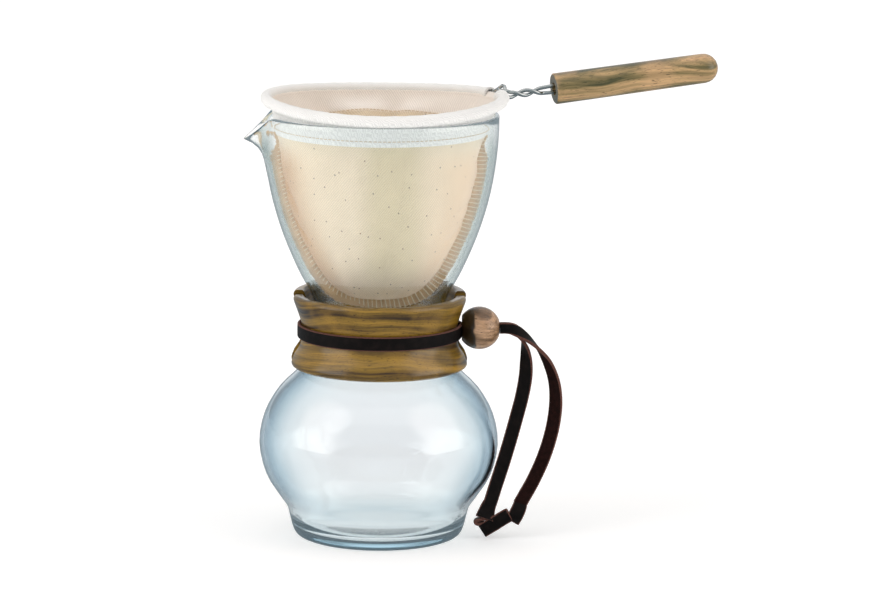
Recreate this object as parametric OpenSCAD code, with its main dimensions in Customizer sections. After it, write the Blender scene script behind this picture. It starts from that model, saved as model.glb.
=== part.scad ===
// Cloth-filter drip pot: blown glass pot with a pinched neck, split wooden collar tied with a leather
// lace and a bead, and a cloth filter on a wire hoop with a wooden handle.
// Frame: +Z up, origin at the centre of the glass foot, spout towards -X, front towards -Y. Millimetres.

/* [Glass pot] */
// Largest radius of the round lower bulb
bulb_r = 56.6; // [54:0.2:58]
// Height of the bulb's widest place
bulb_z = 44; // [42:1:46]
// Radius of the foot above its rounded edge
foot_r = 42; // [40:0.5:43]
// Radius of the pinched neck
neck_r = 29; // [28:0.5:29.5]
// Height of the narrowest place of the neck
neck_z = 99; // [97:1:101]
// Outer radius of the mouth
mouth_r = 55.4; // [54.5:0.1:56]
// Height of the mouth's rim
mouth_z = 201.5; // [200:0.5:202]
// Wall thickness of the blown glass
wall = 2.1; // [1.8:0.1:2.4]
// Thickness of the glass under the bulb
floor_t = 3.6; // [3:0.1:5]
// How far the spout's tip stands out past the mouth
spout_out = 9.8; // [8:0.2:11]
// How far the spout's tip droops below the rim
spout_drop = 12.5; // [10:0.5:14]
// Half of the angle of rim that is pulled into the spout
spout_half_angle = 34; // [30:1:40]

/* [Wooden collar] */
// Radius of the collar's flared top edge
collar_top_r = 40.7; // [40:0.1:41.5]
// Radius of the collar's flared bottom edge
collar_bottom_r = 41.6; // [41:0.1:42.5]
// Radius of the waist that the lace sits on
collar_waist_r = 36.9; // [36.5:0.1:37.2]
// Height of the bottom edge above the table
collar_low_z = 80.8; // [80.8:0.1:82]
// Height of the collar
collar_h = 34.8; // [34:0.1:36]
// How much higher the back half sits than the front half
collar_step = 1.3; // [0:0.1:1.5]
// Gap between the two halves
collar_gap = 5; // [4:0.5:6]

/* [Leather lace and bead] */
// Width of the flat leather lace
lace_w = 6.6; // [6.2:0.1:6.8]
// Thickness of the lace
lace_t = 1.6; // [1.4:0.1:1.6]
// Width of the lace where it is rolled up inside the bead
lace_rolled_w = 5.2; // [5:0.1:5.4]
// Radius of the wooden bead
bead_r = 10.1; // [10:0.1:10.3]
// Radius of the bead's bore
bead_bore_r = 3.4; // [3.3:0.05:3.6]

/* [Hoop and handle] */
// Radius of the wire hoop, to the middle of the wire
hoop_r = 55.3; // [55:0.1:55.6]
// Diameter of the steel wire
wire_d = 1.8; // [1.6:0.1:1.8]
// How far the front and back of the hoop sag below its sides
hoop_sag = 2.8; // [2:0.1:2.8]
// Direction of the handle, turned from +X towards the back
handle_turn = 13; // [12:1:15]
// Rise of the handle above the level
handle_rise = 6.5; // [5:0.1:7]
// Length of the wooden handle
handle_len = 81; // [76:1:86]
// Diameter of the handle at the hoop end
handle_d = 14.7; // [14:0.1:15.2]
// Diameter of the handle at its rounded far end
handle_end_d = 14.1; // [13.5:0.1:14.4]

/* [Cloth filter] */
// Outer radius of the hem that is rolled round the wire
hem_r = 2.7; // [2.5:0.05:2.7]
// Thickness of the cotton flannel
cloth_t = 1; // [0.8:0.1:1.1]
// Width of the overlocked seam allowance
seam_w = 5.8; // [5.4:0.1:5.9]
// Thickness of the seam allowance, two layers of cloth and the thread
seam_t = 1.8; // [1.6:0.1:2.2]
// Diameter of the sewing thread
thread_d = 0.4; // [0.3:0.05:0.5]

/* [Hidden] */
$fn = 96;
tiny = 0.01;

// Colours of the real materials.
glass_colour = [0.8, 0.9, 0.93, 0.45];
wood_colour = [0.55, 0.4, 0.24];
leather_colour = [0.17, 0.12, 0.11];
steel_colour = [0.78, 0.8, 0.82];
cloth_colour = [0.95, 0.9, 0.82];
thread_colour = [0.9, 0.82, 0.7];

// ---- Curves and vectors ----

function unit(v) = v / norm(v);

// Point at t between b and c on a Catmull-Rom curve through a, b, c and d.
function curve_point(a, b, c, d, t) =
    0.5 * (2 * b + (c - a) * t + (2 * a - 5 * b + 4 * c - d) * t * t + (3 * b - a - 3 * c + d) * t * t * t);

// A smooth curve through all the stations, with n steps between one station and the next.
function smooth(stations, n) =
    let (last = len(stations) - 1)
    [for (i = [0:last - 1]) for (k = [0:n - 1])
        curve_point(stations[max(i - 1, 0)], stations[i], stations[i + 1], stations[min(i + 2, last)], k / n),
     stations[last]];

// Direction of travel at station i of an open path.
function along(path, i) = unit(path[min(i + 1, len(path) - 1)] - path[max(i - 1, 0)]);

// A 2-D path moved sideways by d, to the left of its direction of travel.
function beside(path, d) =
    [for (i = [0:len(path) - 1]) let (t = along(path, i)) path[i] + d * [-t[1], t[0]]];

function part_of(path, from, to) = [for (i = [from:to]) path[i]];
function turned_over(path) = [for (i = [len(path) - 1:-1:0]) path[i]];

// ---- Solids made from rings of points ----

// A closed solid through rings that each hold the same number of points.
module skin(rings) {
    n = len(rings[0]);
    m = len(rings);
    sides = [for (i = [0:m - 2]) for (k = [0:n - 1]) let (j = (k + 1) % n)
        each [[i * n + k, i * n + j, (i + 1) * n + j], [i * n + k, (i + 1) * n + j, (i + 1) * n + k]]];
    first = [for (k = [n - 1:-1:0]) k];
    last = [for (k = [0:n - 1]) (m - 1) * n + k];
    polyhedron([for (r = rings) each r], concat(sides, [first], [last]), convexity = 8);
}

// A closed ring of sections, where the last section joins on to the first.
module ring(sections) {
    n = len(sections[0]);
    m = len(sections);
    sides = [for (i = [0:m - 1]) for (k = [0:n - 1]) let (j = (k + 1) % n, a = i * n, b = ((i + 1) % m) * n)
        each [[a + k, a + j, b + j], [a + k, b + j, b + k]]];
    polyhedron([for (s = sections) each s], sides, convexity = 8);
}

// A closed pipe, whose rings of outer and inner points are joined by flat ends.
module pipe(outer, inner) {
    n = len(outer[0]);
    m = len(outer);
    shift = n * m;
    walls = [for (i = [0:m - 2]) for (k = [0:n - 1]) let (j = (k + 1) % n)
        each [[i * n + k, i * n + j, (i + 1) * n + j], [i * n + k, (i + 1) * n + j, (i + 1) * n + k],
              [shift + i * n + k, shift + (i + 1) * n + j, shift + i * n + j],
              [shift + i * n + k, shift + (i + 1) * n + k, shift + (i + 1) * n + j]]];
    ends = [for (k = [0:n - 1]) let (j = (k + 1) % n, e = (m - 1) * n)
        each [[k, shift + k, shift + j], [k, shift + j, j],
              [e + k, e + j, shift + e + j], [e + k, shift + e + j, shift + e + k]]];
    polyhedron(concat([for (r = outer) each r], [for (r = inner) each r]), concat(walls, ends), convexity = 8);
}

// A closed sheet between two grids of points that match one to one.
module sheet(face, back) {
    m = len(face);
    n = len(face[0]);
    s = m * n;
    grids = [for (i = [0:m - 2]) for (k = [0:n - 2]) let (a = i * n + k, b = a + 1, c = a + n, d = c + 1)
        each [[a, b, d], [a, d, c], [s + a, s + d, s + b], [s + a, s + c, s + d]]];
    rows = [for (i = [0:m - 2]) let (a = i * n, c = a + n, p = a + n - 1, q = c + n - 1)
        each [[a, c, s + c], [a, s + c, s + a], [p, s + q, q], [p, s + p, s + q]]];
    columns = [for (k = [0:n - 2]) let (a = k, b = k + 1, p = (m - 1) * n + k, q = p + 1)
        each [[a, s + b, b], [a, s + a, s + b], [p, q, s + q], [p, s + q, s + p]]];
    polyhedron(concat([for (r = face) each r], [for (r = back) each r]), concat(grids, rows, columns),
        convexity = 10);
}

// Rings of a round wire of radius r along a path. side holds one vector for each point, square to the path.
function wire_rings(path, side, r, n) =
    [for (i = [0:len(path) - 1])
        let (t = along(path, i), s = unit(side[i] - (side[i] * t) * t), u = cross(s, t))
        [for (k = [0:n - 1]) path[i] + r * (cos(360 * k / n) * s + sin(360 * k / n) * u)]];

// Side vectors of a path that stays roughly level.
function level_sides(path) = [for (i = [0:len(path) - 1]) cross(along(path, i), [0, 0, 1])];

// Rings of a flat ribbon with eased edges. Each station of face is the direction that its grain side looks in.
function ribbon_rings(path, face, width, t) =
    [for (i = [0:len(path) - 1])
        let (d = along(path, i), f = unit(face[i] - (face[i] * d) * d), w = cross(d, f),
             a = width[i] / 2, e = t / 2, b = a - 0.3 * t, c = 0.2 * t)
        [for (q = [[a, -c], [a, c], [b, e], [-b, e], [-a, c], [-a, -c], [-b, -e], [b, -e]])
            path[i] + q[0] * w + q[1] * f]];

module ribbon(path, face, width, t) {
    skin(ribbon_rings(path, face, width, t));
}

// ---- Glass pot ----

// Outside of the pot as [radius, height], from the edge of the foot up to the rim.
foot_outline = [[foot_r - 5, 0], [foot_r - 2.8, 1.2], [foot_r - 1.2, 4.4]];
outside_stations = concat(foot_outline, [
    [foot_r + 0.2, 10], [foot_r + 1.6, 14.5], [47.4, 20], [53.5, 30],
    [bulb_r, bulb_z], [54.2, 58], [47.4, 70], [38, 79.4],
    [31.8, 88], [neck_r, neck_z], [29.8, 108],
    [33, 117], [38.8, 128], [45.6, 144], [50.6, 160], [53.6, 175],
    [mouth_r - 0.3, 189], [mouth_r, mouth_z - wall / 2]]);
outline_steps = 3;
outside = smooth(outside_stations, outline_steps);
// The first outside point that the inside wall runs parallel to, above the floor.
inside_start = 9;
inside = beside(part_of(outside, inside_start, len(outside) - 1), wall);
floor_outline = [[0, floor_t], [foot_r - 11, floor_t + 0.2], [foot_r - 6, floor_t + 1.2],
    [foot_r - 3.4, floor_t + 3.6]];
inside_wall = concat(floor_outline, inside);
rim_centre = [mouth_r - wall / 2, mouth_z - wall / 2];
rim_arc = [for (a = [30:30:150]) rim_centre + wall / 2 * [cos(a), sin(a)]];
spout_low = 170;

// The bulb is turned, and ends at the neck, where the funnel takes over.
bulb_outside = [for (p = outside) if (p[1] <= neck_z) p];
bulb_inside = [for (p = inside_wall) if (p[1] < neck_z) p];

module bulb() {
    rotate_extrude() polygon(concat([[0, 0]], bulb_outside, [[neck_r - wall, neck_z]], turned_over(bulb_inside)));
}

// The funnel's section starts as a tongue inside the bulb's wall and stands a hair proud of it at the neck.
tongue = 0.5;
proud = 0.08;
funnel_section = concat(
    [[neck_r - tongue, neck_z - 1], [neck_r + proud, neck_z]],
    [for (p = outside) if (p[1] > neck_z + 0.5) p], rim_arc,
    turned_over([for (p = inside) if (p[1] > neck_z + 0.5) p]),
    [[neck_r - wall - proud, neck_z], [neck_r - wall + tongue, neck_z - 1]]);

// The funnel's glass at an angle a from the spout's middle, pulled out and down where the spout is.
function funnel_point(p, a) =
    let (near = abs(a) < spout_half_angle ? cos(90 * a / spout_half_angle) : 0,
         rise = max(0, (p[1] - spout_low) / (mouth_z - spout_low)),
         r = p[0] + spout_out * pow(near, 8) * pow(rise, 5),
         z = p[1] - spout_drop * pow(near, 5) * pow(rise, 1.2))
    [-r * cos(a), r * sin(a), z];

module funnel() {
    lip_steps = 9;
    plain_steps = 52;
    // Steps are finest at the spout's tip, where the lip is narrow.
    lip_angles = [for (i = [-lip_steps:lip_steps]) spout_half_angle * sign(i) * pow(abs(i) / lip_steps, 1.4)];
    plain_angles = [for (i = [1:plain_steps - 1])
        spout_half_angle + i * (360 - 2 * spout_half_angle) / plain_steps];
    ring([for (a = concat(lip_angles, plain_angles))
        [for (p = turned_over(funnel_section)) funnel_point(p, a > 180 ? a - 360 : a)]]);
}

module glass_pot() {
    color(glass_colour) union() {
        bulb();
        funnel();
    }
}

// ---- Wooden collar ----

collar_mid = 18;
collar_outside = smooth([
    [collar_bottom_r - 1.9, 0.1], [collar_bottom_r - 0.4, 1], [collar_bottom_r, 2.8],
    [collar_bottom_r - 1.3, 6.6], [collar_bottom_r - 3.5, 9.8], [collar_waist_r + 0.2, 12.8], [collar_waist_r, collar_mid - 1],
    [collar_waist_r + 0.2, 21.4], [collar_top_r - 1.9, 26.8], [collar_top_r - 0.2, 31.4],
    [collar_top_r, collar_h - 1.4], [collar_top_r - 0.7, collar_h - 0.3], [collar_top_r - 1.6, collar_h]], 2);
collar_inside = smooth([
    [collar_top_r - 4, collar_h], [collar_top_r - 4.9, collar_h - 1], [34.6, collar_h - 4.4], [31.8, 26.6],
    [30.4, 21], [29.9, 17], [31.4, 11], [34.8, 5.4], [38.4, 0]], 2);

module collar_ring() {
    rotate_extrude() polygon(concat(collar_outside, collar_inside));
}

// Half of the ring, on the side that side points to along Y, starting at y = from.
module collar_half(side, from) {
    cut = 4 * collar_bottom_r;
    difference() {
        collar_ring();
        translate([-cut / 2, side > 0 ? from - cut : from, -cut / 2]) cube(cut);
    }
}

module collar_front() {
    color(wood_colour) translate([0, 0, collar_low_z]) collar_half(-1, -collar_gap * 0.7);
}

module collar_back() {
    color(wood_colour) translate([0, 0, collar_low_z + collar_step]) collar_half(1, collar_gap * 0.3);
}

// ---- Leather lace, bead and knot ----

lace_z = collar_low_z + collar_mid - 0.4;
// The bead sits a little above the lace's turn round the waist.
bead_z = lace_z + 1.2;
wrap_r = collar_waist_r + lace_t / 2 + 0.3;
bead_x = 47.1;
bead_half_bore = sqrt(bead_r * bead_r - bead_bore_r * bead_bore_r);
lace_exit_x = bead_x + bead_half_bore + 0.2;
pair_y = lace_t / 2 + 0.05;
wrap_start = 12;

// One end of the wrap, from inside the bead back to the collar: side is -1 in front and 1 behind.
function wrap_end(side) = [
    [lace_exit_x, side * pair_y, bead_z], [bead_x, side * pair_y, bead_z],
    [wrap_r + 2.6, side * (pair_y + 0.05), bead_z], [wrap_r + 1.4, side * (pair_y + 0.3), bead_z - 0.1],
    [wrap_r + 0.6, side * (pair_y + 0.9), bead_z - 0.3], [wrap_r + 0.1, side * 3.1, bead_z - 0.6],
    [wrap_r - 0.1, side * 5, bead_z - 0.9]];
wrap_end_widths = [lace_rolled_w, lace_rolled_w, lace_rolled_w, lace_rolled_w, 5.6, 6, 6.4];
wrap_round = [for (a = [wrap_start:6:360 - wrap_start]) [wrap_r * cos(a), wrap_r * sin(a), lace_z]];
wrap_path = concat(wrap_end(1), wrap_round, turned_over(wrap_end(-1)));
wrap_widths = concat(wrap_end_widths, [for (p = wrap_round) lace_w], turned_over(wrap_end_widths));

module lace_wrap() {
    faces = [for (i = [0:len(wrap_path) - 1]) cross(along(wrap_path, i), [0, 0, 1])];
    color(leather_colour) ribbon(wrap_path, faces, wrap_widths, lace_t);
}

// Routes of the two free strands, from the bead down to the knot, which hangs just clear of the table.
// Each row is a point and the direction that the smooth grain side looks in there.
inner_route = [
    [[lace_exit_x + 0.1, 0.9, bead_z], [0, 1, 0]], [[60.4, 0.9, bead_z], [0, 1, 0]],
    [[63, 0.9, bead_z - 0.6], [-0.3, 1, -0.2]], [[65.8, 0.8, 97.2], [-0.8, 0.7, -0.6]],
    [[67.8, 0.5, 93.6], [-1, 0, -0.5]], [[69, 0, 89], [-1, -0.6, 0]], [[69.5, -0.8, 83], [-0.6, -1, 0]],
    [[69.2, -1.8, 76], [-0.3, -1, 0]], [[67.6, -2.9, 67], [-0.1, -1, 0]], [[64.9, -4.2, 56.5], [0, -1, 0]],
    [[61.9, -5.5, 45.5], [0, -1, 0]], [[58.8, -6.7, 35], [0, -1, 0]], [[55.6, -7.9, 25], [0.1, -1, 0]],
    [[53.7, -8.7, 18.8], [0.1, -1, 0]], [[52.5, -9.2, 15.2], [0.1, -1, 0]]];
outer_route = [
    [[lace_exit_x + 0.1, -0.9, bead_z], [0, -1, 0]], [[60.4, -0.9, bead_z], [0, -1, 0]],
    [[63.4, -1, bead_z - 0.6], [0.1, -1, 0.3]], [[67.4, -1.5, 96.8], [0.5, -0.8, 0.8]],
    [[71.8, -2.1, 93.4], [0.9, -0.2, 0.9]], [[76.2, -2.7, 88.8], [1, 0.3, 0.7]], [[80, -3, 82.6], [1, 0.8, 0.3]],
    [[82.8, -3.2, 74.5], [0.8, 1, 0]], [[83.7, -3.6, 65.5], [0.5, 1, 0]], [[82.9, -4.3, 56], [0.3, 1, 0]],
    [[80.8, -5.2, 46.5], [0.2, 1, 0]], [[77.6, -6.3, 37], [0.2, 1, 0]], [[73.3, -7.4, 27.5], [0.1, 1, 0]],
    [[69.4, -8.3, 20.4], [0.1, 1, 0]], [[67, -9.1, 16.2], [0.1, 1, 0]]];
strand_widths = concat([lace_rolled_w, lace_rolled_w, 5.4, 5.8, 6], [for (i = [5:14]) lace_w]);

module strand(route) {
    color(leather_colour) ribbon([for (s = route) s[0]], [for (s = route) s[1]], strand_widths, lace_t);
}

module lace_inner_strand() {
    strand(inner_route);
}

module lace_outer_strand() {
    strand(outer_route);
}

// A flat patch of folded lace in the XZ plane, whose layers start at y and go back by depth.
module patch(corners, y, depth) {
    translate([0, y + depth, 0]) rotate([90, 0, 0]) linear_extrude(depth) polygon(corners);
}

// The flat knot: each strand's end is folded over, and one cut end crosses in front of both folds.
module lace_knot() {
    knot_y = -12;
    color(leather_colour) union() {
        patch([[47.6, 6.8], [51.1, 0.8], [63, 8.4], [61.2, 15.4]], knot_y, lace_t);
        patch([[48.4, 14.5], [45.9, 8.7], [46.8, 7], [54.9, 10.5], [54.2, 13.4]], knot_y + 1.2, 2 * lace_t);
        patch([[61.6, 14.7], [68.4, 14.2], [69.3, 12.7], [65.1, 7.3], [61, 8.1]], knot_y + 1.2, 2 * lace_t);
    }
}

module toggle_bead() {
    // The bore flares out widely where the lace turns into it, and its other end has a small chamfer.
    flare_r = 6.9;
    flare_len = 7;
    chamfer = 0.6;
    color(wood_colour) translate([bead_x, 0, bead_z]) rotate([0, 90, 0]) difference() {
        sphere(bead_r);
        cylinder(r = bead_bore_r, h = 3 * bead_r, center = true);
        translate([0, 0, -bead_r - tiny]) cylinder(r1 = flare_r, r2 = bead_bore_r - tiny, h = flare_len);
        translate([0, 0, bead_half_bore - chamfer])
            cylinder(r1 = bead_bore_r - tiny, r2 = bead_bore_r + chamfer, h = chamfer + tiny);
    }
}

// ---- Hoop, latch and handle ----

hoop_x = 1.4;
hoop_z = 208.3;
hoop_tilt = 0.8;
wire_r = wire_d / 2;
// Middle of the hoop wire at an angle a from +X.
function hoop_point(a) =
    [hoop_x + hoop_r * cos(a), hoop_r * sin(a), hoop_z - hoop_sag * sin(a) * sin(a) + hoop_tilt * sin(a)];

// The handle's own frame: outward along the handle, sideways towards the back, and up.
function handle_out() =
    [cos(handle_rise) * cos(handle_turn), cos(handle_rise) * sin(handle_turn), sin(handle_rise)];
function handle_side() = [-sin(handle_turn), cos(handle_turn), 0];
function handle_up() = cross(handle_out(), handle_side());
shank_start = 61.5;
grip_start = 82.7;
function shank_origin() = [hoop_x, 0, hoop_z - shank_start * sin(handle_rise) + 0.5];
// A point at a distance out from the hoop's centre, moved sideways and up in the handle's frame.
function from_handle(out, side, up) =
    shank_origin() + out * handle_out() + side * handle_side() + up * handle_up();

// Two wires twisted round each other, and spread apart again before they enter the handle.
twist_pitch = 15.4;
twist_r = wire_r + 0.3;
hole_offset = 1.5;
wire_depth = 18;
function shank_point(out, phase) =
    let (turn = 360 * min(out - shank_start, twist_pitch) / twist_pitch + phase,
         spread = max(0, min(1, (out - shank_start - 13) / 7)),
         r = twist_r + (hole_offset - twist_r) * spread * spread * (3 - 2 * spread))
    from_handle(out, r * cos(turn), r * sin(turn));
shank_outs = concat([for (d = [0:1.1:21]) shank_start + d], [grip_start + 2, grip_start + wire_depth]);

sleeve_front = 7;
sleeve_back = 25;
// The wire leaves the twist at its phase of 270 degrees, which is underneath, and bends into the hoop.
hoop_join = [for (k = [1:5]) let (b = 18 * k, c = hoop_point(handle_turn - 3), r = 4)
    shank_point(shank_start, 270) + [0, 0, 0.06 * k]
        - r * sin(b) * [cos(handle_turn), sin(handle_turn), 0] - r * (1 - cos(b)) * handle_side()];
hoop_round = [for (a = [6:-6:-324]) hoop_point(a)];
hoop_lead = [hoop_point(9)];
// The open end rises out of the hem and curls over into an eye that hangs on the latch.
eye_r = 2.2;
eye_centre = from_handle(58.6, 0.5, 2.2);
eye_axis = [cos(handle_turn), sin(handle_turn), 0];
eye_rise = [hoop_point(30), hoop_point(25), hoop_point(21) + [0.4, 0, 1.3],
    eye_centre + [0, 0, eye_r] + 3 * handle_side()];
eye_loop = [for (b = [90:-30:-180]) eye_centre + eye_r * (cos(b) * handle_side() * -1 + sin(b) * [0, 0, 1])
    - (90 - b) / 270 * 0.4 * eye_axis];
hoop_path = concat([for (i = [len(shank_outs) - 1:-1:0]) shank_point(shank_outs[i], 270)], hoop_join, hoop_lead,
    hoop_round, eye_rise, eye_loop);
hoop_eye_start = len(hoop_path) - len(eye_loop);

module hoop_wire() {
    flat = level_sides(hoop_path);
    sides = [for (i = [0:len(hoop_path) - 1]) i < hoop_eye_start ? flat[i] : eye_axis];
    color(steel_colour) skin(wire_rings(hoop_path, sides, wire_r, 8));
}

// The second wire of the twist ends in a short hook, which passes through the eye.
latch_path = concat([for (i = [len(shank_outs) - 1:-1:0]) shank_point(shank_outs[i], 90)],
    [for (p = [[60.4, 0.3, 1.7], [59.4, 0.45, 2.1], [57.6, 0.5, 2.3], [56.2, 0.5, 2.7], [55.4, 0.5, 3.5]])
        from_handle(p[0], p[1], p[2])]);

module latch_wire() {
    color(steel_colour) skin(wire_rings(latch_path, level_sides(latch_path), wire_r, 8));
}

module handle_grip() {
    end_r = handle_end_d / 2;
    edge = 0.5;
    hole_r = wire_r + 0.08;
    socket_r = 3.1;
    socket_depth = 2.6;
    outline = concat([[0, 0], [handle_d / 2 - edge, 0], [handle_d / 2, edge]],
        [for (a = [0:15:90]) [end_r * cos(a), handle_len - end_r + end_r * sin(a)]]);
    color(wood_colour) translate(from_handle(grip_start, 0, 0)) rotate([0, 0, handle_turn])
        rotate([0, 90 - handle_rise, 0]) difference() {
            rotate_extrude() polygon(outline);
            translate([0, 0, -tiny]) cylinder(r = socket_r, h = socket_depth);
            for (side = [-1, 1]) translate([side * hole_offset, 0, -tiny])
                cylinder(r = hole_r, h = wire_depth + 1);
        }
}

// ---- Cloth filter ----

// Stations down the bag: height, middle in x, half width, half depth, and how pointed it is at the seams.
bag_stations = [
    [205.4, 1.4, 52.4, 52.4, 1], [200.6, 0.9, 50.6, 51.2, 1], [194, 0.2, 48.6, 49.2, 1.05],
    [184, -0.5, 45.4, 45.6, 1.1], [172, -0.5, 43.8, 41, 1.15], [158, -0.5, 40.8, 35.4, 1.2],
    [146, -0.5, 36.4, 29.5, 1.25], [134, -0.5, 30.8, 23, 1.3], [124.5, -0.5, 24.8, 16.5, 1.3],
    [118.6, -0.5, 18, 9, 1.3], [116.2, -0.5, 10.6, 3.5, 1.2], [115.6, -0.5, 3.6, 1.4, 1]];
bag = smooth(bag_stations, 2);
panel_edge = 0.06;

// A point of the bag's outside: row i, at an angle a round it. The top row follows the hoop's sag.
function bag_point(i, a, inward) =
    let (s = bag[i], near_top = max(0, 1 - i / 4),
         lift = near_top * (hoop_tilt * sin(a) - hoop_sag * sin(a) * sin(a) + 1.2),
         y = (s[3] - inward) * pow(abs(sin(a)), s[4]))
    [s[1] + (s[2] - inward) * cos(a), sign(sin(a)) * max(y, panel_edge),
     s[0] + lift + 0.35 * inward * (1 - near_top)];

// One half of the bag, between the seam at angle from and the seam 180 degrees further.
module panel(from) {
    angles = [for (k = [0:20]) from + 9 * k + (k == 0 ? 0.05 : k == 20 ? -0.05 : 0)];
    face = [for (i = [0:len(bag) - 1]) [for (a = angles) bag_point(i, a, 0)]];
    back = [for (i = [0:len(bag) - 1]) [for (a = angles) bag_point(i, a, cloth_t)]];
    color(cloth_colour) sheet(back, face);
}

module filter_front_panel() {
    panel(180);
}

module filter_back_panel() {
    panel(0);
}

// The rolled hem, a cloth pipe round the hoop wire that is open where the handle's wires come in.
module filter_hem_sleeve() {
    angles = [for (k = [0:58]) sleeve_front - k * (360 - sleeve_back + sleeve_front) / 58];
    path = [for (a = angles) hoop_point(a)];
    sides = level_sides(path);
    color(cloth_colour) pipe(wire_rings(path, sides, hem_r, 12), wire_rings(path, sides, wire_r + 0.2, 12));
}

// The seam's line in the XZ plane, from high on the left, under the bag and up to the right.
seam_rows = [for (i = [6:len(bag) - 2]) i];
bag_bottom = bag_stations[len(bag_stations) - 1];
seam_line = concat(
    [for (i = seam_rows) [bag[i][1] - bag[i][2], bag[i][0]]],
    [[bag_bottom[1], bag_bottom[0] - 0.2]],
    [for (i = turned_over(seam_rows)) [bag[i][1] + bag[i][2], bag[i][0]]]);
seam_middle = beside(seam_line, -(seam_w / 2 + 0.15));

module filter_seam_band() {
    path = [for (p = seam_middle) [p[0], 0, p[1]]];
    color(cloth_colour) ribbon(path, [for (p = path) [0, -1, 0]], [for (p = path) seam_w], seam_t);
}

// Machine stitches just under the hem, as one thread that lies against the bag's outside.
module hem_thread() {
    row = 4;
    angles = [for (k = [0:60]) 13 + k * 5.8];
    path = [for (a = angles) bag_point(row, a, -0.35)];
    color(thread_colour) skin(wire_rings(path, level_sides(path), thread_d / 2, 6));
}

// Overlock thread, which runs to and fro across the front of the seam allowance.
module overlock_thread() {
    steps = 4;
    fine = smooth(seam_middle, steps);
    cross_w = seam_w / 2 - 0.6;
    spots = [for (i = [1:len(fine) - 2]) let (t = along(fine, i), n = [-t[1], t[0]], s = i % 2 == 0 ? 1 : -1)
        fine[i] + s * cross_w * n];
    path = [for (p = spots) [p[0], -(seam_t + thread_d) / 2 - 0.03, p[1]]];
    color(thread_colour) skin(wire_rings(path, [for (p = path) [0, 1, 0]], thread_d / 2, 6));
}

// ---- Nodes ----

glass_pot();
collar_front();
collar_back();
lace_wrap();
lace_inner_strand();
lace_outer_strand();
lace_knot();
toggle_bead();
hoop_wire();
latch_wire();
handle_grip();
filter_hem_sleeve();
filter_front_panel();
filter_back_panel();
filter_seam_band();
hem_thread();
overlock_thread();
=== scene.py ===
"""Cloth-filter drip pot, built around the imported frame.

+Z is up, the spout points to -X and the front to -Y. Shapes are worked out in millimetres, as in the CAD
source, and turned into metres when a mesh is made. Angles round the pot and the bag start at +X.
"""
import math
import random

import bmesh
import bpy
import numpy as np
from mathutils import Matrix, Vector


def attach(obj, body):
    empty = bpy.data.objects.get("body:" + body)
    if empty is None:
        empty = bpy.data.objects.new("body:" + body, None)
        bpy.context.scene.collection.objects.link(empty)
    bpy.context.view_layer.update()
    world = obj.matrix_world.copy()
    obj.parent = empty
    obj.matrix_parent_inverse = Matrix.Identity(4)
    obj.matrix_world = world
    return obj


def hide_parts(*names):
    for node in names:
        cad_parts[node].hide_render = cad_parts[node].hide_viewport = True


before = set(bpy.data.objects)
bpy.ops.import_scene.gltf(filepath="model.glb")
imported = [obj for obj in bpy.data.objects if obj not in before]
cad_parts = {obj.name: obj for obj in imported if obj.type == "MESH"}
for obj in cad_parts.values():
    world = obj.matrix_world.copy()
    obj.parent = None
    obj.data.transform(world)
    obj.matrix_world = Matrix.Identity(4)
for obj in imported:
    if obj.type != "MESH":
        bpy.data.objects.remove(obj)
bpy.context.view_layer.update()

MM = 0.001
UP = np.array([0.0, 0.0, 1.0])
rng = random.Random(7)


# ---------------------------------------------------------------- Camera, floor and light

CAMERA_PLACE = (0.0, -1.9, 0.455)
CAMERA_PITCH, CAMERA_YAW, CAMERA_ROLL = math.radians(10.21), math.radians(0.80), math.radians(0.60)
LENS, SENSOR = 168.9, 36.0
WHITE = (1.0, 1.0, 1.0)


def add_camera():
    """A long lens in front of the pot, looking down a little. Pitch is downward and yaw is to the right."""
    camera = bpy.data.objects.new("Camera", bpy.data.cameras.new("Camera"))
    bpy.context.scene.collection.objects.link(camera)
    pitch, yaw, roll = CAMERA_PITCH, CAMERA_YAW, CAMERA_ROLL
    forward = Vector((math.sin(yaw) * math.cos(pitch), math.cos(yaw) * math.cos(pitch), -math.sin(pitch)))
    level = Vector((math.cos(yaw), -math.sin(yaw), 0.0))
    up = level.cross(forward)
    right = level * math.cos(roll) + up * math.sin(roll)
    top = up * math.cos(roll) - level * math.sin(roll)
    axes = Matrix((right, top, -forward)).transposed().to_4x4()
    camera.matrix_world = Matrix.Translation(CAMERA_PLACE) @ axes
    camera.data.lens = LENS
    camera.data.sensor_width = SENSOR
    camera.data.clip_start = 0.05
    camera.data.clip_end = 100.0
    bpy.context.scene.camera = camera


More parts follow.
